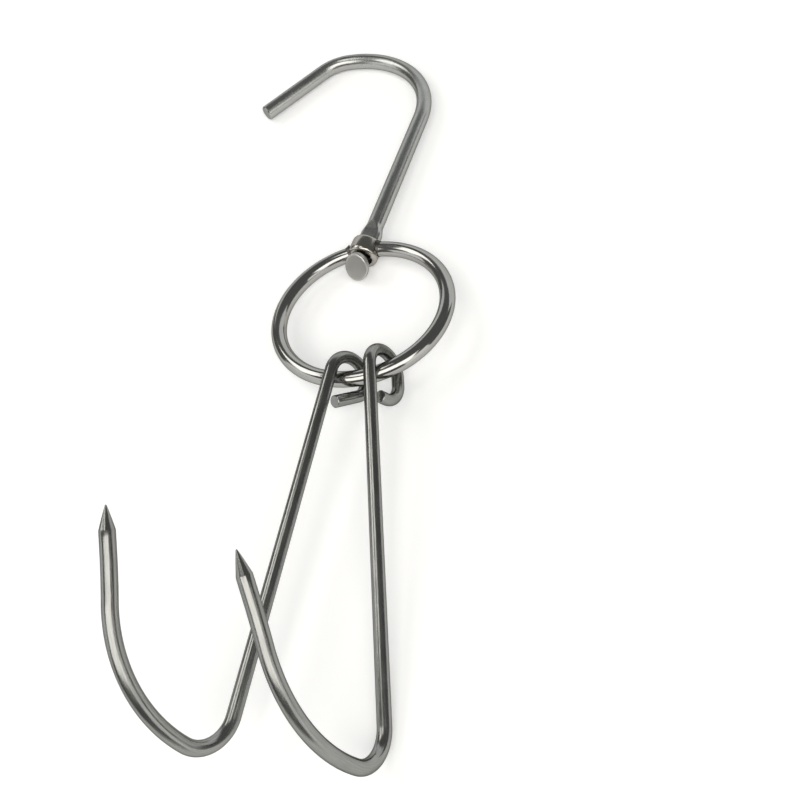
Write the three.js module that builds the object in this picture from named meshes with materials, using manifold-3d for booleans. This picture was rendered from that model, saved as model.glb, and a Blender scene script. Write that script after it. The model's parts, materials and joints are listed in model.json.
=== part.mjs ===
// Double swivel meat hook, lying on a table.
// One thick round-wire rail hook turns in a collar at the top of a closed ring,
// and two pointed meat hooks hang from the ring by their own wire eyes.
// Millimetres, +Z up. The table is z = 0, the rail hook points to +Y.
import * as THREE from 'three';
import { mergeVertices } from 'three/addons/utils/BufferGeometryUtils.js';
import Module from 'manifold-3d';

// ---------------------------------------------------------------- dimensions
// ring and its collar
const RING_R = 25.0;            // centre line radius
const RING_WIRE = 4.5;          // wire diameter
const RING_TILT = -6.0;         // degrees about X: the side towards the meat hooks is lifted
const RING_CENTRE = [-7.0, 35.9];
const COLLAR_ANGLE = 71.7;      // where the collar sits on the ring, degrees from +X
const COLLAR_OD = 9.2;
const COLLAR_BORE = 6.2;
const COLLAR_LEN = 6.0;
const COLLAR_CHAMFER = 0.6;
const JOIN_GAP = 0.3;           // gap between pieces that touch

// rail hook
const RAIL_WIRE = 5.2;
const RAIL_HEADING = 36.2;      // shank direction, degrees from +Y towards +X
const RAIL_DIP = 1.2;           // shank falls towards its bend
const SHANK_START = 3.5;        // wire proper starts here, above the collar
const RAIL_SHANK = 60.6;        // straight length, from the collar's middle
const RAIL_BEND1 = [30.3, 103.1];   // radius, degrees
const RAIL_BEND2 = [13.3, 45.5];
const RAIL_ARM = 27.2;
const PINCH_LEN = 7.0;          // flattened stop above the collar
const PINCH_WIDE = 1.34;        // width and thickness of the flattened wire,
const PINCH_THIN = 0.74;        // as shares of the wire's diameter
const NECK_R = 2.3;             // journal inside the collar
const NECK_SINK = 1.2;          // how far the journal runs up into the wire,
const NECK_SINK_HEAD = 0.6;     // and down into the head
const HEAD_GAP = 0.35;          // end play between the collar and the head
const HEAD_R = 3.6;             // upset head that keeps the collar on
const HEAD_OVAL = 1.22;         // spread more one way than the other
const HEAD_THICK = 2.4;
const HEAD_RIM = [0.9, 0.2, 0.7];   // rounding of the face: flat's inset, rim's depth, side's depth
const HEAD_BACK = 0.5;          // chamfer at the back of the head
const HEAD_SET = 0.45;          // part of the head's radius that may lean over the collar's bore
const HEAD_TILT = 28;           // degrees: the head was struck over, its face looks up
const END_CHAMFER = 0.5;

// meat hooks, two alike
const MEAT_WIRE = 3.4;
const MEAT_SHANK = 87.1;
const MEAT_BEND1 = [7.9, 103.0];
const MEAT_BEND2 = [37.0, 54.8];
const MEAT_FLARE = [199.0, 2.9];
const MEAT_PRONG = 9.3;         // last straight length, point included
const POINT_LEN = 5.2;
const POINT_TIP_R = 0.18;
const EYE_R = 6.05;             // eye: arch over the top,
const EYE_DEPTH = 8.0;          // from the arch's middle down to the cut end,
const EYE_GAP = 2.0;            // which stops this far short of the shank
// Where each eye sits on the ring, and how the hook lies: heading from -Y towards -X,
// dip below the level, and lean of the hook's plane up from the table, in degrees.
// The shifts are the ring's play inside the eye, in millimetres. The eyes were bent by
// hand and differ: eyeTurn is the radius and degrees of the last bend, back to the shank.
const LEFT = {
  ringAngle: -114.0, heading: 32.1, dip: 3.4, lean: 58.3, shiftU: -0.3, shiftV: -1.17, eyeTurn: [3.5, 54],
};
const RIGHT = {
  ringAngle: -90.8, heading: 18.0, dip: 9.1, lean: 64.9, shiftU: -0.69, shiftV: -1.46, eyeTurn: [6.0, 90],
};

const SIDES = 22;               // facets round a wire
const LATHE_SIDES = 28;
const CUTTER_SIDES = 32;
const CUTTER_OVER = 6;          // how much longer the trimming cylinder is than the collar
const FULL_PRESS = 0.7;         // share of the flattened length over which it widens
const MERGE = 1e-4;             // vertices closer than this are one
const TINY = 1e-6;

// materials: colour, roughness
const BRIGHT_STEEL = [0xc9c6bf, 0.16];
const RAIL_STEEL = [0xbdbbb5, 0.22];
const MEAT_STEEL = [0xa9a69c, 0.26];

const rad = THREE.MathUtils.degToRad;

// ---------------------------------------------------------------- wire path
// A flat path of straight lines and arcs in the local XY plane. Stations are
// placed by segment, so that straight lengths take few and bends take many.
class WirePath extends THREE.Curve {
  constructor(start, heading, segments) {
    super();
    this.stations = [];
    let [x, y] = start;
    let h = heading;
    let first = true;
    for (const seg of segments) {
      const [len, turn, n] = seg.line !== undefined
        ? [seg.line, 0, seg.n ?? 1]
        : [0, rad(seg.turn), seg.n];
      const [x0, y0, h0] = [x, y, h];
      for (let k = first ? 0 : 1; k <= n; k++) {
        const f = k / n;
        if (seg.line !== undefined) {
          x = x0 + Math.cos(h0) * len * f;
          y = y0 + Math.sin(h0) * len * f;
        } else {
          const s = Math.sign(turn);
          const cx = x0 - Math.sin(h0) * seg.radius * s;
          const cy = y0 + Math.cos(h0) * seg.radius * s;
          h = h0 + turn * f;
          x = cx + Math.sin(h) * seg.radius * s;
          y = cy - Math.cos(h) * seg.radius * s;
        }
        this.stations.push([x, y, h]);
      }
      first = false;
    }
    this.steps = this.stations.length - 1;
  }
  at(t) {
    const f = THREE.MathUtils.clamp(t, 0, 1) * this.steps;
    const i = Math.min(Math.floor(f), this.steps - 1);
    const w = f - i;
    const a = this.stations[i];
    const b = this.stations[i + 1];
    return a.map((v, k) => v + (b[k] - v) * w);
  }
  getPoint(t, out = new THREE.Vector3()) {
    const [x, y] = this.at(t);
    return out.set(x, y, 0);
  }
  getPointAt(u, out) {
    return this.getPoint(u, out);
  }
  getTangent(t, out = new THREE.Vector3()) {
    const heading = this.at(t)[2];
    return out.set(Math.cos(heading), Math.sin(heading), 0);
  }
  getTangentAt(u, out) {
    return this.getTangent(u, out);
  }
}

function wire(path, radius) {
  const shape = new THREE.Shape();
  shape.absarc(0, 0, radius, 0, Math.PI * 2);
  return weld(new THREE.ExtrudeGeometry(shape, {
    steps: path.steps, extrudePath: path, bevelEnabled: false, curveSegments: SIDES / 2,
  }));
}

// keep only positions, with shared vertices merged
function weld(geometry) {
  const g = geometry.clone();
  g.deleteAttribute('normal');
  g.deleteAttribute('uv');
  return mergeVertices(g, MERGE);
}

// Work on the last length of a wire: every vertex within reach of the end is
// handed over in (distance from the end, offset from the centre line).
function shapeEnd(geometry, end, outward, reach, fn) {
  const pos = geometry.attributes.position;
  const v = new THREE.Vector3();
  const off = new THREE.Vector3();
  for (let i = 0; i < pos.count; i++) {
    v.fromBufferAttribute(pos, i).sub(end);
    const back = -v.dot(outward);
    off.copy(v).addScaledVector(outward, back);
    if (back > reach + TINY || off.length() > RAIL_WIRE) continue;
    fn(back, off);
    v.copy(end).addScaledVector(outward, -back).add(off);
    pos.setXYZ(i, v.x, v.y, v.z);
  }
}

// a turned piece with its axis along +Y, from (radius, height) points
function turned(profile) {
  return new THREE.LatheGeometry(profile.map(([x, y]) => new THREE.Vector2(x, y)), LATHE_SIDES);
}

function endOf(path, last) {
  const [x, y, h] = path.stations[last ? path.steps : 0];
  const s = last ? 1 : -1;
  return [new THREE.Vector3(x, y, 0), new THREE.Vector3(Math.cos(h) * s, Math.sin(h) * s, 0)];
}

const chamferEnd = (radius) => (back, off) => {
  if (back < END_CHAMFER - TINY) off.multiplyScalar(1 - (END_CHAMFER - back) / radius);
};

// ---------------------------------------------------------------- booleans
const wasm = await Module();
wasm.setup();

function toSolid(geometry) {
  const g = weld(geometry);
  return new wasm.Manifold(new wasm.Mesh({
    numProp: 3,
    vertProperties: new Float32Array(g.attributes.position.array),
    triVerts: new Uint32Array(g.index.array),
  }));
}

function fromSolid(solid) {
  const m = solid.getMesh();
  const g = new THREE.BufferGeometry();
  g.setAttribute('position', new THREE.BufferAttribute(new Float32Array(m.vertProperties), 3));
  g.setIndex(new THREE.BufferAttribute(new Uint32Array(m.triVerts), 1));
  return g;
}

function steel(color, roughness) {
  return new THREE.MeshStandardMaterial({ color, roughness, metalness: 1.0 });
}

function piece(name, geometry, material) {
  geometry.computeVertexNormals();
  const mesh = new THREE.Mesh(geometry, material);
  mesh.name = name;
  return mesh;
}

// ---------------------------------------------------------------- rail hook
// Local frame: origin at the collar's middle, shank along +Y, bend to -X.
function railHook() {
  const r = RAIL_WIRE / 2;
  const path = new WirePath([0, SHANK_START], Math.PI / 2, [
    { line: PINCH_LEN, n: 6 },
    { line: RAIL_SHANK - PINCH_LEN - SHANK_START, n: 1 },
    { radius: RAIL_BEND1[0], turn: RAIL_BEND1[1], n: 16 },
    { radius: RAIL_BEND2[0], turn: RAIL_BEND2[1], n: 6 },
    { line: RAIL_ARM - END_CHAMFER, n: 1 },
    { line: END_CHAMFER, n: 1 },
  ]);
  const g = wire(path, r);
  // the stop: wire pressed flat, widest next to the collar
  const [foot, down] = endOf(path, false);
  shapeEnd(g, foot, down, PINCH_LEN, (back, off) => {
    const k = Math.min(1, (PINCH_LEN - back) / (PINCH_LEN * FULL_PRESS));
    const s = k * k * (3 - 2 * k);
    off.x *= 1 + (PINCH_WIDE - 1) * s;
    off.z *= 1 + (PINCH_THIN - 1) * s;
  });
  const [tip, out] = endOf(path, true);
  shapeEnd(g, tip, out, END_CHAMFER, chamferEnd(r));
  // journal through the collar, and the upset head inside the ring
  const slope = rad(HEAD_TILT);
  const headY = -COLLAR_LEN / 2 - HEAD_GAP - (HEAD_R * HEAD_OVAL - HEAD_SET) * Math.sin(slope);
  const bottom = headY - NECK_SINK_HEAD;
  const top = SHANK_START + NECK_SINK;
  const journal = turned([[0, bottom], [NECK_R, bottom], [NECK_R, top], [0, top]]);
  const [inset, rim, side] = HEAD_RIM;
  const button = turned([
    [0, -HEAD_THICK], [HEAD_R - inset, -HEAD_THICK],
    [HEAD_R - inset / 3, -HEAD_THICK + rim], [HEAD_R, -HEAD_THICK + side],
    [HEAD_R, -HEAD_BACK], [HEAD_R - HEAD_BACK, 0], [0, 0],
  ]);
  button.scale(1, 1, HEAD_OVAL);
  button.rotateX(-slope);
  button.translate(0, headY, 0);
  return fromSolid(toSolid(g).add(toSolid(journal)).add(toSolid(button)));
}

// ---------------------------------------------------------------- ring
// Local frame: centre of the ring, ring in the XY plane. The wire runs from
// one side of the collar right round to the other.
function ringWire() {
  const half = Math.asin((COLLAR_OD / 2 + JOIN_GAP) / RING_R);
  const a0 = rad(COLLAR_ANGLE) + half;
  const path = new WirePath(
    [RING_R * Math.cos(a0), RING_R * Math.sin(a0)], a0 + Math.PI / 2,
    [{ radius: RING_R, turn: 360 - THREE.MathUtils.radToDeg(2 * half), n: 60 }]);
  return wire(path, RING_WIRE / 2);
}

// Local frame: axis along +Y, middle at the origin.
function collar() {
  const outer = COLLAR_OD / 2;
  const bore = COLLAR_BORE / 2;
  const end = COLLAR_LEN / 2;
  const c = COLLAR_CHAMFER;
  const mid = c * 0.3;          // the rounded corner's middle point
  return weld(turned([
    [bore, -end], [outer - c, -end], [outer - mid, -end + mid], [outer, -end + c],
    [outer, end - c], [outer - mid, end - mid], [outer - c, end], [bore, end], [bore, -end],
  ]));
}

// ---------------------------------------------------------------- meat hook
// Local frame: u = X towards the prong, v = Y down the shank, origin where the
// eye's arch meets the shank.
function meatHook({ eyeTurn: [turnR, turn] }) {
  const r = MEAT_WIRE / 2;
  // the cut end's heading, and the straights that bring the eye's side to the arch
  const heading = 1.5 * Math.PI - rad(turn);
  const start = -r - EYE_GAP;
  const rod = (turnR * (1 + Math.sin(heading)) - 2 * EYE_R - start) / Math.cos(heading);
  const side = EYE_DEPTH + rod * Math.sin(heading) + turnR * Math.cos(heading);
  const path = new WirePath([start, EYE_DEPTH], heading, [
    { line: END_CHAMFER, n: 1 },
    { line: rod - END_CHAMFER, n: 1 },
    { radius: turnR, turn, n: 6 },
    { line: side, n: 1 },
    { radius: EYE_R, turn: 180, n: 14 },
    { line: MEAT_SHANK, n: 1 },
    { radius: MEAT_BEND1[0], turn: -MEAT_BEND1[1], n: 12 },
    { radius: MEAT_BEND2[0], turn: -MEAT_BEND2[1], n: 10 },
    { radius: MEAT_FLARE[0], turn: MEAT_FLARE[1], n: 2 },
    { line: MEAT_PRONG - POINT_LEN, n: 1 },
    { line: POINT_LEN, n: 4 },
  ]);
  const g = wire(path, r);
  const [cut, back] = endOf(path, false);
  shapeEnd(g, cut, back, END_CHAMFER, chamferEnd(r));
  const [tip, out] = endOf(path, true);
  shapeEnd(g, tip, out, POINT_LEN, (d, off) => {
    off.multiplyScalar((POINT_TIP_R + (r - POINT_TIP_R) * (d / POINT_LEN)) / r);
  });
  return g;
}

// ---------------------------------------------------------------- placing
function placed(mesh, origin, x, y) {
  const z = new THREE.Vector3().crossVectors(x, y);
  mesh.quaternion.setFromRotationMatrix(new THREE.Matrix4().makeBasis(x, y, z));
  mesh.position.copy(origin);
  return mesh;
}

const tilt = rad(RING_TILT);
const ringX = new THREE.Vector3(1, 0, 0);
const ringY = new THREE.Vector3(0, Math.cos(tilt), Math.sin(tilt));
// the collar rests on the table, which sets the height of the ring's centre
const collarRise = RING_R * Math.sin(rad(COLLAR_ANGLE)) * Math.sin(tilt);
const ringCentre = new THREE.Vector3(...RING_CENTRE, COLLAR_OD / 2 - collarRise);
const onRing = (deg) => ringCentre.clone()
  .addScaledVector(ringX, RING_R * Math.cos(rad(deg)))
  .addScaledVector(ringY, RING_R * Math.sin(rad(deg)));

const heading = rad(RAIL_HEADING);
const dip = rad(RAIL_DIP);
const shankDir = new THREE.Vector3(
  Math.sin(heading) * Math.cos(dip), Math.cos(heading) * Math.cos(dip), -Math.sin(dip));
const shankSide = new THREE.Vector3(Math.cos(heading), -Math.sin(heading), 0);
const swivel = onRing(COLLAR_ANGLE);

const ringMesh = placed(piece('ring', ringWire(), steel(...BRIGHT_STEEL)), ringCentre, ringX, ringY);
const collarMesh = placed(
  piece('swivel_collar', collar(), steel(...BRIGHT_STEEL)), swivel, shankSide, shankDir);
const railMesh = placed(piece('rail_hook', railHook(), steel(...RAIL_STEEL)), swivel, shankSide, shankDir);

// The collar leans across the ring, so the ring's two ends are cut to its shape.
function trimRing() {
  ringMesh.updateMatrixWorld(true);
  collarMesh.updateMatrixWorld(true);
  const clear = COLLAR_OD / 2 + JOIN_GAP;
  const cutter = new THREE.CylinderGeometry(clear, clear, COLLAR_LEN + CUTTER_OVER, CUTTER_SIDES);
  cutter.applyMatrix4(collarMesh.matrixWorld);
  cutter.applyMatrix4(ringMesh.matrixWorld.clone().invert());
  ringMesh.geometry = fromSolid(toSolid(ringMesh.geometry).subtract(toSolid(cutter)));
  ringMesh.geometry.computeVertexNormals();
}
trimRing();

function meatPose(p) {
  const along = rad(p.heading);
  const down = rad(p.dip);
  const lean = rad(p.lean);
  const v = new THREE.Vector3(
    -Math.sin(along) * Math.cos(down), -Math.cos(along) * Math.cos(down), -Math.sin(down));
  const flat = new THREE.Vector3(-Math.cos(along), Math.sin(along), 0);
  const up = new THREE.Vector3().crossVectors(flat, v);
  if (up.z < 0) up.negate();
  const u = flat.clone().multiplyScalar(Math.cos(lean)).addScaledVector(up, Math.sin(lean));
  const origin = onRing(p.ringAngle)
    .addScaledVector(u, EYE_R - p.shiftU)
    .addScaledVector(v, -(p.shiftV + 0.5 * (EYE_DEPTH - EYE_R)));
  return [origin, u, v];
}

const leftMesh = placed(
  piece('left_meat_hook', meatHook(LEFT), steel(...MEAT_STEEL)), ...meatPose(LEFT));
const rightMesh = placed(
  piece('right_meat_hook', meatHook(RIGHT), steel(...MEAT_STEEL)), ...meatPose(RIGHT));

const model = new THREE.Group();
model.add(railMesh, ringMesh, collarMesh, leftMesh, rightMesh);

// origin at the bottom centre of the object as it lies
model.updateMatrixWorld(true);
const box = new THREE.Box3();
for (const m of model.children) box.expandByObject(m, true);
model.position.set(-(box.min.x + box.max.x) / 2, -(box.min.y + box.max.y) / 2, -box.min.z);
model.updateMatrixWorld(true);

export default model;
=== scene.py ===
import json
import math

import bmesh
import bpy
import numpy as np
from mathutils import Matrix, Vector


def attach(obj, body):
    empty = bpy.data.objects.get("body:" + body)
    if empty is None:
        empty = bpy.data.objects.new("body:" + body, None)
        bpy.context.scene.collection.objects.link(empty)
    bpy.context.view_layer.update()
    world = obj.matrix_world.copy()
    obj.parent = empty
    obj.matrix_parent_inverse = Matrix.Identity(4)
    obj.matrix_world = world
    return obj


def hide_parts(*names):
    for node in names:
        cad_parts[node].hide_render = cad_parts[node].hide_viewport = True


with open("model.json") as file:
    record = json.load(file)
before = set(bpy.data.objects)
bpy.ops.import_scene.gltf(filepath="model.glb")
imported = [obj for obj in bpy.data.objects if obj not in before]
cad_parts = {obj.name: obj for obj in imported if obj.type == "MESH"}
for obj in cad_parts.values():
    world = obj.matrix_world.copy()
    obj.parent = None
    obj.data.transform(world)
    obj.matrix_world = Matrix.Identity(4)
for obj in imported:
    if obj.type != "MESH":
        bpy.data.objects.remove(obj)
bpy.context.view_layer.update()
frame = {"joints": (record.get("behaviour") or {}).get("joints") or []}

# Double swivel meat hook lying on a white table: the looks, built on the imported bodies.
# Shapes are worked out in millimetres in each piece's own axes, then placed in metres.
MM = 0.001

# ------------------------------------------------------------ dimensions, mm and degrees
# ring and its collar
RING_R = 25.0               # centre line radius
RING_WIRE = 4.5             # wire diameter
RING_TILT = -6.0            # about X: the side towards the meat hooks is lifted
COLLAR_ANGLE = 71.7         # where the collar sits on the ring, from +X
COLLAR_OD = 9.2
COLLAR_BORE = 6.2
COLLAR_LEN = 6.0
COLLAR_BULGE = 0.05         # its side is a touch fuller in the middle
RING_SINK = 0.45            # how far the ring's ends run into the collar, and how far the painted-shade fillets do
SHADE_FILLET_SINK = 0.5             # and how far the welds do
# painted shade: near-black sleeves on the ring's ends, standing for the shade in the crevices at the
# collar
SHADE_FILLET_STATIONS = 12
SHADE_FILLET_STATION = 0.34         # degrees of the ring between stations
SHADE_FILLET_SWELL = 0.62           # how far a painted-shade fillet stands out from the wire, at the collar
SHADE_FILLET_FADE = 1.7             # how fast it thins out along the wire
SHADE_FILLET_INNER = 0.85           # share taken off on the inner side, which the head passes

# rail hook; a bend is its centre line radius and its turn
RAIL_WIRE = 5.2
RAIL_HEADING = 36.2         # shank direction, from +Y towards +X
RAIL_DIP = 1.2              # the shank falls towards its bend
SHANK_START = 3.5           # the wire starts here, above the collar's middle
RAIL_SHANK = 60.6           # straight length, from the collar's middle
RAIL_BEND1 = (30.3, 103.1)
RAIL_BEND2 = (13.3, 45.5)
RAIL_ARM = 27.2
RAIL_CHAMFER = 0.3          # broken rim of the cut end
STEP_LEN = 0.6              # the wire draws in over this length at the collar,
STEP_DRAW = 0.10            # by this share of its radius
PINCH_LEN = 7.0             # flattened stop above the collar
PINCH_RUN = 8.4             # length drawn with close stations for it
PINCH_WIDE = 1.34           # width and thickness of the flattened wire,
PINCH_THIN = 0.74           # as shares of the wire's diameter
PINCH_OVER = 0.02           # the flat starts this share of the radius above the wire,
PINCH_LEAD = 0.6            # this far past the flattened length
WIDEN_SHARE = 0.62          # share of the flattened length over which it widens,
THIN_SHARE = 0.5            # and over which it thins
NECK_R = 2.3                # journal inside the collar
NECK_SINK = 1.0             # how far the journal runs up into the wire,
NECK_SINK_HEAD = 0.6        # and down into the head
HEAD_R = 3.6                # struck-over head that keeps the collar on
HEAD_OVAL = 1.22            # spread more one way than the other
HEAD_THICK = 2.4
HEAD_CROWN = 0.12           # how far the face swells in the middle,
HEAD_CROWN_R = 0.6          # and half of that at this share of the radius
HEAD_TILT = 28.0            # its face looks up
HEAD_PLAY = 0.8             # end play between the collar and the head
HEAD_SET = 0.45             # part of the head's radius that may lean over the collar's bore

# meat hooks, two alike
MEAT_WIRE = 3.4
MEAT_SHANK = 87.1
MEAT_BEND1 = (7.9, 103.0)
MEAT_BEND2 = (37.0, 54.8)
MEAT_FLARE = (199.0, 2.9)
MEAT_PRONG = 9.3            # last straight length, point included
MEAT_CHAMFER = 0.14         # broken rim of the sheared end
MEAT_END = 0.6              # length drawn with close stations at that end
POINT_LEN = 5.2
POINT_R = 0.14              # radius left at the tip
POINT_LEAD = 0.9            # the flats run this far up the wire
POINT_FULL = 0.93           # below 1 the cone is a little full
POINT_FLATS = 10            # flats that the wheel left round the point,
FLAT_TURN = 0.35            # turned by this angle, in radians,
FLAT_DEPTH = 0.8            # this share as deep as true flats,
FLAT_OUT = 0.02             # and set out by this share of the radius
EYE_R = 6.05                # eye: arch over the top,
EYE_DEPTH = 8.0             # from the arch's middle down to the cut end,
EYE_GAP = 2.0               # which stops this far short of the shank
# Where each eye sits on the ring, and how the hook lies: heading from -Y towards -X, dip
# below the level, and lean of the hook's plane up from the table. u and v are the ring's
# play inside the eye. eye_turn is the radius and turn of the eye's last bend.
LEFT = dict(ring_angle=-114.0, heading=32.1, dip=3.4, lean=58.3, u=-0.3, v=-1.17, eye_turn=(3.5, 54.0))
RIGHT = dict(ring_angle=-90.8, heading=18.0, dip=9.1, lean=64.9, u=-0.69, v=-1.46, eye_turn=(6.0, 90.0))

# how finely the pieces are drawn
BEND_STEP = 0.45            # between stations in bends
LINE_STEP = 3.0             # and along straights
SIDES = 64                  # round a wire
LATHE_SIDES = 96            # round a turned piece
ROUND_STEPS = 5             # along a rounded corner
SHARP_ANGLE = 34            # edges from this angle stay sharp
UV_PER_MM = 0.1             # along a wire
MERGE = 1e-7                # metres: closer points are one,
TINY = 1e-8                 # and shorter edges go


def rad(degrees):
    return math.radians(degrees)


# ------------------------------------------------------------ placing
tilt = rad(RING_TILT)
ring_x = Vector((1, 0, 0))
ring_y = Vector((0, math.cos(tilt), math.sin(tilt)))


def about_ring(deg):
    """A point of the ring's centre line, from the ring's centre, in mm."""
    return RING_R * (ring_x * math.cos(rad(deg)) + ring_y * math.sin(rad(deg)))


def basis(origin, x, y):
    """Matrix to metres, from an origin in mm and the directions of local X and Y."""
    m = Matrix.Identity(4)
    for i, axis in enumerate((x, y, x.cross(y))):
        m.col[i][:3] = axis
    m.col[3][:3] = origin * MM
    return m


joints = {j["name"]: j for j in frame["joints"]}
swivel = Vector(joints["ring_swivel"]["pos_m"]) / MM
ring_centre = swivel - about_ring(COLLAR_ANGLE)
heading, dip = rad(RAIL_HEADING), rad(RAIL_DIP)
shank_dir = Vector((math.sin(heading) * math.cos(dip), math.cos(heading) * math.cos(dip), -math.sin(dip)))
shank_side = Vector((math.cos(heading), -math.sin(heading), 0))
rail_basis = basis(swivel, shank_side, shank_dir)
ring_basis = basis(ring_centre, ring_x, ring_y)


def meat_basis(pose):
    """Local X across the hook, Y down its shank, origin at the eye's middle."""
    along, drop, lean = rad(pose["heading"]), rad(pose["dip"]), rad(pose["lean"])
    v = Vector((-math.sin(along) * math.cos(drop), -math.cos(along) * math.cos(drop), -math.sin(drop)))
    flat = Vector((-math.cos(along), math.sin(along), 0))
    up = flat.cross(v)
    if up.z < 0:
        up.negate()
    u = flat * math.cos(lean) + up * math.sin(lean)
    origin = ring_centre + about_ring(pose["ring_angle"]) + u * (EYE_R - pose["u"])
    origin -= v * (pose["v"] + 0.5 * (EYE_DEPTH - EYE_R))
    return basis(origin, u, v)


# ------------------------------------------------------------ wires and turned pieces
class Path:
    """Stations along a flat wire: x, y, heading and length so far, in mm."""

    def __init__(self, start, heading):
        self.rows = [(start[0], start[1], heading, 0.0)]

    def length(self):
        return self.rows[-1][3]

    def line(self, length, n=None):
        n = n or max(1, round(length / LINE_STEP))
        x, y, h, s = self.rows[-1]
        for k in range(1, n + 1):
            t = length * k / n
            self.rows.append((x + math.cos(h) * t, y + math.sin(h) * t, h, s + t))
        return self

    def arc(self, radius, turn):
        x, y, h, s = self.rows[-1]
        angle, g = rad(turn), math.copysign(1, turn)
        n = max(2, math.ceil(abs(angle) * radius / BEND_STEP))
        cx, cy = x - math.sin(h) * radius * g, y + math.cos(h) * radius * g
        for k in range(1, n + 1):
            now = h + angle * k / n
            self.rows.append((cx + math.sin(now) * radius * g, cy - math.cos(now) * radius * g, now,
                              s + abs(angle) * radius * k / n))
        return self


def smooth_faces(mesh):
    """Normals outward, faces smooth, hard edges kept sharp."""
    bm = bmesh.new()
    bm.from_mesh(mesh)
    bmesh.ops.recalc_face_normals(bm, faces=bm.faces)
    bm.to_mesh(mesh)
    bm.free()
    mesh.polygons.foreach_set("use_smooth", [True] * len(mesh.polygons))
    mesh.set_sharp_from_angle(angle=rad(SHARP_ANGLE))


def place(name, mesh, matrix):
    mesh.transform(matrix)
    smooth_faces(mesh)
    obj = bpy.data.objects.new(name, mesh)
    bpy.context.scene.collection.objects.link(obj)
    return obj


def skin(name, matrix, rings, uvs):
    """A closed skin through rings of points (mm), both ends closed by a fan."""
    n = len(rings[0])
    verts = [tuple(c * MM for c in p) for r in rings for p in r]
    faces, uv = [], []
    for i in range(len(rings) - 1):
        a, b = uvs[i], uvs[i + 1]
        for k in range(n):
            k2 = (k + 1) % n
            faces.append((i * n + k, i * n + k2, (i + 1) * n + k2, (i + 1) * n + k))
            u0, u1 = k / n, (k + 1) / n
            uv.append(((u0, a), (u1, a), (u1, b), (u0, b)))
    for i, flip in ((0, True), (len(rings) - 1, False)):
        c = len(verts)
        verts.append(tuple(np.mean(np.array(rings[i]), axis=0) * MM))
        for k in range(n):
            f = (i * n + k, i * n + (k + 1) % n, c)
            faces.append(f[::-1] if flip else f)
            uv.append(((0.5, uvs[i]),) * 3)
    mesh = bpy.data.meshes.new(name)
    mesh.from_pydata(verts, [], faces)
    layer = mesh.uv_layers.new(name="UVMap")
    layer.data.foreach_set("uv", [c for f in uv for p in f for c in p])
    mesh.update()
    return place(name, mesh, matrix)


def wire(name, matrix, path, section):
    """Sweep section(s, phi) -> (sideways, up) offsets in mm along the path."""
    rings, uvs = [], []
    for x, y, h, s in path.rows:
        nx, ny = -math.sin(h), math.cos(h)
        ring = []
        for k in range(SIDES):
            a, b = section(s, 2 * math.pi * k / SIDES)
            ring.append((x + nx * a, y + ny * a, b))
        rings.append(ring)
        uvs.append(s * UV_PER_MM)
    return skin(name, matrix, rings, uvs)


def lathe(name, matrix, profile, closed=False):
    """Turn a (radius, y) profile about local Y; an open one starts and ends on the axis."""
    n, verts, faces = len(profile), [], []
    for k in range(LATHE_SIDES):
        a = 2 * math.pi * k / LATHE_SIDES
        verts += [(r * math.cos(a) * MM, y * MM, r * math.sin(a) * MM) for r, y in profile]
    for k in range(LATHE_SIDES):
        k2 = (k + 1) % LATHE_SIDES
        for i in range(n if closed else n - 1):
            j = (i + 1) % n
            faces.append((k * n + i, k * n + j, k2 * n + j, k2 * n + i))
    mesh = bpy.data.meshes.new(name)
    mesh.from_pydata(verts, [], faces)
    mesh.update()
    bm = bmesh.new()
    bm.from_mesh(mesh)
    bmesh.ops.remove_doubles(bm, verts=bm.verts, dist=MERGE)
    bmesh.ops.dissolve_degenerate(bm, edges=bm.edges, dist=TINY)
    bm.to_mesh(mesh)
    bm.free()
    return place(name, mesh, matrix)


def rounded(points):
    """Round the corners of a profile of (x, y, radius) points; radius 0 keeps a corner."""
    out = []
    for i, (x, y, radius) in enumerate(points):
        if not radius:
            out.append((x, y))
            continue
        c = Vector((x, y))
        before = Vector(points[i - 1][:2])
        after = Vector(points[(i + 1) % len(points)][:2])
        a = c + (before - c).normalized() * radius
        b = c + (after - c).normalized() * radius
        for j in range(ROUND_STEPS + 1):
            t = j / ROUND_STEPS
            z = a * (1 - t) ** 2 + c * 2 * t * (1 - t) + b * t * t
            out.append((z.x, z.y))
    return out


def smooth(t):
    t = max(0.0, min(1.0, t))
    return t * t * (3 - 2 * t)


# ------------------------------------------------------------ materials
MARK_SCALE = (46.0, 2.2, 1.0)   # drawing marks: fine round the wire, long along it
MARK_DETAIL = 5.0
MARK_DEPTH = 0.00006            # metres
BLOT_SCALE = 150.0
BLOT_DETAIL = 4.0
BLOT_DEPTH = 0.00004            # metres


def node(tree, kind, **values):
    """A new node; each value goes to the input of that name, with _ for a space."""
    new = tree.nodes.new(kind)
    for key, value in values.items():
        new.inputs[key.replace("_", " ")].default_value = value
    return new


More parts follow.
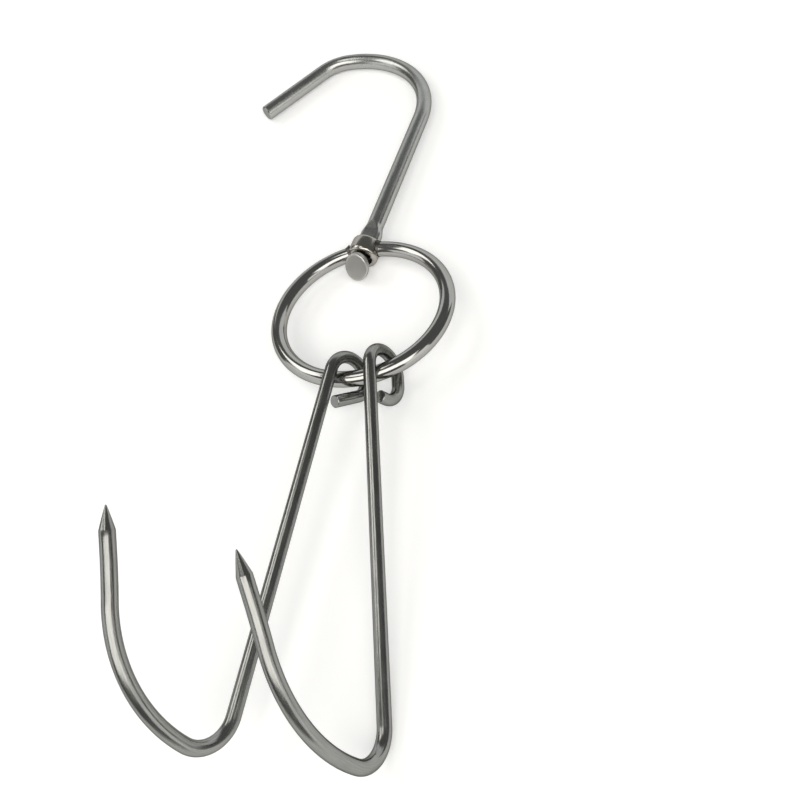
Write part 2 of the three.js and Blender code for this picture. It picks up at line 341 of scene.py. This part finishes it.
def steel(name, color, rough, spread, streak, dull, grain, edge):
    """Bright steel: metal with drawing marks along the wire and a little uneven polish."""
    mat = bpy.data.materials.new(name)
    mat.use_nodes = True
    nt = mat.node_tree
    nt.nodes.clear()
    link = nt.links.new
    out = node(nt, "ShaderNodeOutputMaterial")
    bsdf = node(nt, "ShaderNodeBsdfPrincipled", Metallic=1.0, Specular_Tint=(edge, edge, edge, 1))
    link(bsdf.outputs[0], out.inputs[0])
    uv = node(nt, "ShaderNodeTexCoord")
    mapping = node(nt, "ShaderNodeMapping", Scale=MARK_SCALE)
    link(uv.outputs["UV"], mapping.inputs[0])
    marks = node(nt, "ShaderNodeTexNoise", Scale=1.0, Detail=MARK_DETAIL)
    link(mapping.outputs[0], marks.inputs["Vector"])
    blot = node(nt, "ShaderNodeTexNoise", Scale=BLOT_SCALE, Detail=BLOT_DETAIL)
    link(uv.outputs["Object"], blot.inputs["Vector"])
    # roughness: the polish varies in blotches
    uneven = node(nt, "ShaderNodeMapRange", From_Min=0.3, From_Max=0.7,
                  To_Min=rough - spread, To_Max=rough + spread)
    link(blot.outputs["Fac"], uneven.inputs["Value"])
    link(uneven.outputs[0], bsdf.inputs["Roughness"])
    # colour: faint dark lines along the marks
    ramp = node(nt, "ShaderNodeValToRGB")
    low, high = ramp.color_ramp.elements
    low.position, high.position = 0.30, 0.62
    low.color = (*[c * (1 - dull) for c in color], 1)
    high.color = (*color, 1)
    link(marks.outputs["Fac"], ramp.inputs[0])
    link(ramp.outputs[0], bsdf.inputs["Base Color"])
    # relief: the marks, then the blotches on top
    scored = node(nt, "ShaderNodeBump", Strength=streak, Distance=MARK_DEPTH)
    link(marks.outputs["Fac"], scored.inputs["Height"])
    pitted = node(nt, "ShaderNodeBump", Strength=grain, Distance=BLOT_DEPTH)
    link(blot.outputs["Fac"], pitted.inputs["Height"])
    link(scored.outputs[0], pitted.inputs["Normal"])
    link(pitted.outputs[0], bsdf.inputs["Normal"])
    return mat


RING_STEEL = steel("ring_steel", (0.40, 0.396, 0.381),
                   rough=0.12, spread=0.035, streak=0.10, dull=0.10, grain=0.16, edge=0.34)
RAIL_STEEL = steel("rail_hook_steel", (0.44, 0.44, 0.426),
                   rough=0.25, spread=0.04, streak=0.18, dull=0.12, grain=0.14, edge=0.34)
COLLAR_STEEL = steel("collar_steel", (0.44, 0.42, 0.385),
                     rough=0.20, spread=0.05, streak=0.0, dull=0.12, grain=0.4, edge=0.4)
HEAD_STEEL = steel("swivel_head_steel", (0.50, 0.49, 0.465),
                   rough=0.36, spread=0.06, streak=0.0, dull=0.10, grain=0.4, edge=0.5)
# painted shade: near-black steel for the fillets at the ring's ends, standing for the shade where the
# ring meets the collar
PAINTED_SHADE_STEEL = steel("painted_shade_steel", (0.12, 0.112, 0.10),
                   rough=0.38, spread=0.08, streak=0.0, dull=0.25, grain=1.0, edge=0.45)
MEAT_STEEL = steel("meat_hook_steel", (0.295, 0.295, 0.283),
                   rough=0.22, spread=0.05, streak=0.30, dull=0.18, grain=0.18, edge=0.28)


def finish_piece(obj, body, material, slot, *nodes):
    obj.data.materials.append(material)
    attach(obj, body)
    if nodes:
        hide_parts(*nodes)
    return obj


# ------------------------------------------------------------ meat hooks
def meat_hook(name, body, pose, node_name):
    """One wire, from the cut end of its eye to its point."""
    r = MEAT_WIRE / 2
    turn_r, turn = pose["eye_turn"]
    heading = 1.5 * math.pi - rad(turn)
    start = -r - EYE_GAP
    rod = (turn_r * (1 + math.sin(heading)) - 2 * EYE_R - start) / math.cos(heading)
    side = EYE_DEPTH + rod * math.sin(heading) + turn_r * math.cos(heading)
    path = Path((start, EYE_DEPTH), heading)
    path.line(MEAT_CHAMFER, 1).line(MEAT_END - MEAT_CHAMFER, 1)
    path.line(rod - MEAT_END, 6).arc(turn_r, turn).line(side).arc(EYE_R, 180)
    path.line(MEAT_SHANK).arc(MEAT_BEND1[0], -MEAT_BEND1[1]).arc(MEAT_BEND2[0], -MEAT_BEND2[1])
    path.arc(*MEAT_FLARE).line(MEAT_PRONG - POINT_LEN, 3).line(POINT_LEN, 24)
    total = path.length()
    cell = 2 * math.pi / POINT_FLATS

    def section(s, phi):
        rr = r
        if s < MEAT_CHAMFER:                    # sheared end, its rim broken
            rr = r * (1 - (MEAT_CHAMFER - s) / r)
        left = total - s
        if left < POINT_LEN + POINT_LEAD:       # ground point, with the wheel's flats
            t = min(1.0, left / POINT_LEN)
            cone = POINT_R + (r - POINT_R) * (t ** POINT_FULL)
            flat = math.cos(cell / 2) / math.cos((phi + FLAT_TURN) % cell - cell / 2)
            rr = min(r, cone * (1 + (flat - 1) * FLAT_DEPTH + FLAT_OUT))
        return rr * math.cos(phi), rr * math.sin(phi)

    obj = wire(name, meat_basis(pose), path, section)
    return finish_piece(obj, body, MEAT_STEEL, "meat_hook_steel", node_name)


meat_hook("left_meat_hook_wire", "left_hook", LEFT, "left_meat_hook")
meat_hook("right_meat_hook_wire", "right_hook", RIGHT, "right_meat_hook")

# ------------------------------------------------------------ rail hook
rail_r = RAIL_WIRE / 2
rail_path = Path((0, SHANK_START), math.pi / 2)
rail_path.line(STEP_LEN, 3).line(PINCH_RUN, 34)
rail_path.line(RAIL_SHANK - SHANK_START - STEP_LEN - PINCH_RUN, 16)
rail_path.arc(*RAIL_BEND1).arc(*RAIL_BEND2).line(RAIL_ARM - 2 * RAIL_CHAMFER, 10)
rail_path.line(RAIL_CHAMFER, 1).line(RAIL_CHAMFER, 1)
rail_total = rail_path.length()


def rail_section(s, phi):
    a, b = rail_r * math.cos(phi), rail_r * math.sin(phi)
    press = smooth((PINCH_LEN - s) / (PINCH_LEN * WIDEN_SHARE))
    if press > 0:                               # pressed flat above the collar
        a *= 1 + (PINCH_WIDE - 1) * press
        thinned = min(1.0, (PINCH_LEN + PINCH_LEAD - s) / (PINCH_LEN * THIN_SHARE))
        full = 1 + PINCH_OVER
        top = rail_r * (full - (full - PINCH_THIN) * thinned)
        b = max(-top, min(top, b))
    k = 1
    if s < STEP_LEN:
        k = 1 - STEP_DRAW * (1 - s / STEP_LEN) ** 2
    left = rail_total - s
    if left < RAIL_CHAMFER:                     # cut end, its rim broken
        k = 1 - (RAIL_CHAMFER - left) / rail_r
    return a * k, b * k


rail = wire("rail_hook_wire", rail_basis, rail_path, rail_section)
finish_piece(rail, "rail", RAIL_STEEL, "rail_hook_steel", "rail_hook")

slope = rad(HEAD_TILT)
head_y = -COLLAR_LEN / 2 - HEAD_PLAY - (HEAD_R * HEAD_OVAL - HEAD_SET) * math.sin(slope)
neck_low, neck_high = head_y - NECK_SINK_HEAD, SHANK_START + NECK_SINK
journal = lathe("swivel_journal", rail_basis,
                [(0, neck_low), (NECK_R, neck_low), (NECK_R, neck_high), (0, neck_high)])
finish_piece(journal, "rail", RAIL_STEEL, "rail_hook_steel")

button = rounded([
    (0, -HEAD_THICK - HEAD_CROWN, 0),
    (HEAD_R * HEAD_CROWN_R, -HEAD_THICK - HEAD_CROWN / 2, 0),
    (HEAD_R, -HEAD_THICK, 0.55),
    (HEAD_R, 0, 0.95),
    (0, 0, 0),
])
head_shift = Matrix.Translation(Vector((0, head_y * MM, 0)))
head_lean = Matrix.Rotation(-slope, 4, "X")
head_spread = Matrix.Diagonal((1, 1, HEAD_OVAL, 1))
head = lathe("swivel_head", rail_basis @ head_shift @ head_lean @ head_spread, button)
finish_piece(head, "rail", HEAD_STEEL, "rail_hook_steel")

# ------------------------------------------------------------ ring and collar
half = math.degrees(math.asin((COLLAR_OD / 2 - RING_SINK) / RING_R))
first = rad(COLLAR_ANGLE + half)
ring_path = Path((RING_R * math.cos(first), RING_R * math.sin(first)), first + math.pi / 2)
ring_path.arc(RING_R, 360 - 2 * half)


def ring_section(s, phi):
    return RING_WIRE / 2 * math.cos(phi), RING_WIRE / 2 * math.sin(phi)


ring = wire("ring_wire", ring_basis, ring_path, ring_section)
finish_piece(ring, "ring", RING_STEEL, "ring_steel", "ring")


def painted_shade_fillet(name, side):
    """Painted shade: a dark fillet standing for the shade where an end of the ring meets the collar; side
    is +1 or -1 along the ring.
    """
    start = rad(COLLAR_ANGLE) + side * math.asin((COLLAR_OD / 2 - SHADE_FILLET_SINK) / RING_R)
    path = Path((RING_R * math.cos(start), RING_R * math.sin(start)), start + side * math.pi / 2)
    for _ in range(SHADE_FILLET_STATIONS):
        path.arc(RING_R, side * SHADE_FILLET_STATION)
    length = path.length()

    def section(s, phi):
        t = s / length
        lump = 0.10 * math.sin(3 * phi + side) + 0.07 * math.sin(5 * phi + 2 + 4 * t)
        inner = max(0.0, side * math.cos(phi))
        swell = (SHADE_FILLET_SWELL + lump) * (1 - t) ** SHADE_FILLET_FADE * (1 - SHADE_FILLET_INNER * inner)
        rr = RING_WIRE / 2 - 0.06 + swell       # its far end sinks into the wire
        return rr * math.cos(phi), rr * math.sin(phi)

    finish_piece(wire(name, ring_basis, path, section), "ring", PAINTED_SHADE_STEEL, "ring_steel")


# painted shade on both ends of the ring, where it runs into the collar
painted_shade_fillet("ring_painted_shade_left", 1)
painted_shade_fillet("ring_painted_shade_right", -1)

outer, bore, half_len = COLLAR_OD / 2, COLLAR_BORE / 2, COLLAR_LEN / 2
collar_profile = rounded([
    (bore, -half_len, 0.45),
    (outer, -half_len, 1.25),
    (outer + COLLAR_BULGE, 0, 0),
    (outer, half_len, 1.1),
    (bore, half_len, 0.45),
])
collar = lathe("swivel_collar_turned", rail_basis, collar_profile, closed=True)
finish_piece(collar, "ring", COLLAR_STEEL, "collar_steel", "swivel_collar")

# ------------------------------------------------------------ table
TABLE_HALF = 1.3            # metres
TABLE_DROP = 0.0001         # just clear of the wires that lie on it
corners = [(-TABLE_HALF, -TABLE_HALF, 0), (TABLE_HALF, -TABLE_HALF, 0),
           (TABLE_HALF, TABLE_HALF, 0), (-TABLE_HALF, TABLE_HALF, 0)]
floor_mesh = bpy.data.meshes.new("floor")
floor_mesh.from_pydata(corners, [], [(0, 1, 2, 3)])
floor = bpy.data.objects.new("floor", floor_mesh)
floor.location.z = -TABLE_DROP
bpy.context.scene.collection.objects.link(floor)
floor_white = bpy.data.materials.new("floor_white")
floor_white.use_nodes = True
paint = floor_white.node_tree.nodes["Principled BSDF"]
paint.inputs["Base Color"].default_value = (0.88, 0.88, 0.88, 1)
paint.inputs["Emission Color"].default_value = (1, 1, 1, 1)
paint.inputs["Emission Strength"].default_value = 0.27
paint.inputs["Roughness"].default_value = 0.9
paint.inputs["Specular IOR Level"].default_value = 0.1
floor_mesh.materials.append(floor_white)

# ------------------------------------------------------------ light
PANEL_DISTANCE = 1.5        # metres from the object


def panel(name, azimuth, elevation, size, radiance, color):
    """A softbox facing the object from a direction in degrees, with the radiance it shows."""
    level = math.cos(rad(elevation))
    where = PANEL_DISTANCE * Vector((level * math.cos(rad(azimuth)),
                                     level * math.sin(rad(azimuth)), math.sin(rad(elevation))))
    light = bpy.data.lights.new(name, "AREA")
    light.shape = "RECTANGLE"
    light.size, light.size_y = size
    light.energy = radiance * math.pi * size[0] * size[1]
    light.color = color
    obj = bpy.data.objects.new(name, light)
    obj.location = where
    obj.rotation_mode = "QUATERNION"
    obj.rotation_quaternion = (-where).to_track_quat("-Z", "Y")
    obj.visible_camera = False
    bpy.context.scene.collection.objects.link(obj)


panel("key_window", -100, 50, (2.15, 1.0), 2.6, (1.0, 0.985, 0.945))
panel("back_window", 140, 45, (1.05, 0.55), 2.6, (1.0, 0.985, 0.95))
panel("top_window", 150, 79, (0.6, 0.5), 2.2, (1.0, 0.99, 0.96))
panel("front_fill", -54, 15, (0.85, 0.9), 1.2, (1.0, 0.99, 0.96))
panel("right_fill", 62, 15, (3.4, 1.1), 0.85, (0.98, 1.0, 1.0))
panel("left_fill", 176, 17, (1.3, 0.8), 1.0, (0.98, 1.0, 1.0))

# the grey room behind the softboxes; seen directly, the wall behind the table is pale
world = bpy.data.worlds.new("studio")
bpy.context.scene.world = world
world.use_nodes = True
wt = world.node_tree
room = wt.nodes["Background"]
room.inputs["Color"].default_value = (0.97, 1.0, 0.97, 1)
room.inputs["Strength"].default_value = 0.15
wall = node(wt, "ShaderNodeBackground", Color=(0.93, 0.93, 0.93, 1))
seen = node(wt, "ShaderNodeLightPath")
mix = node(wt, "ShaderNodeMixShader")
wt.links.new(seen.outputs["Is Camera Ray"], mix.inputs[0])
wt.links.new(room.outputs[0], mix.inputs[1])
wt.links.new(wall.outputs[0], mix.inputs[2])
wt.links.new(mix.outputs[0], wt.nodes["World Output"].inputs["Surface"])

# ------------------------------------------------------------ camera
ELEVATION, ROLL = 55.88, 22.69
DISTANCE = 219.7            # mm from the target
TARGET = Vector((10.71, -31.66, 0.0))
SENSOR = 36.0               # mm across
LENS = 1.006125             # focal length over sensor width
tip, roll = rad(ELEVATION), rad(ROLL)
right = Vector((1, 0, 0))
up = Vector((0, math.sin(tip), math.cos(tip)))
back = Vector((0, -math.cos(tip), math.sin(tip)))
cam_data = bpy.data.cameras.new("camera")
cam_data.sensor_width = SENSOR
cam_data.lens = SENSOR * LENS
cam_data.clip_start, cam_data.clip_end = 0.01, 20
cam = bpy.data.objects.new("camera", cam_data)
cam.matrix_world = basis(TARGET + back * DISTANCE, right * math.cos(roll) - up * math.sin(roll),
                         right * math.sin(roll) + up * math.cos(roll))
bpy.context.scene.collection.objects.link(cam)
bpy.context.scene.camera = cam
bpy.context.scene.view_settings.view_transform = "Standard"
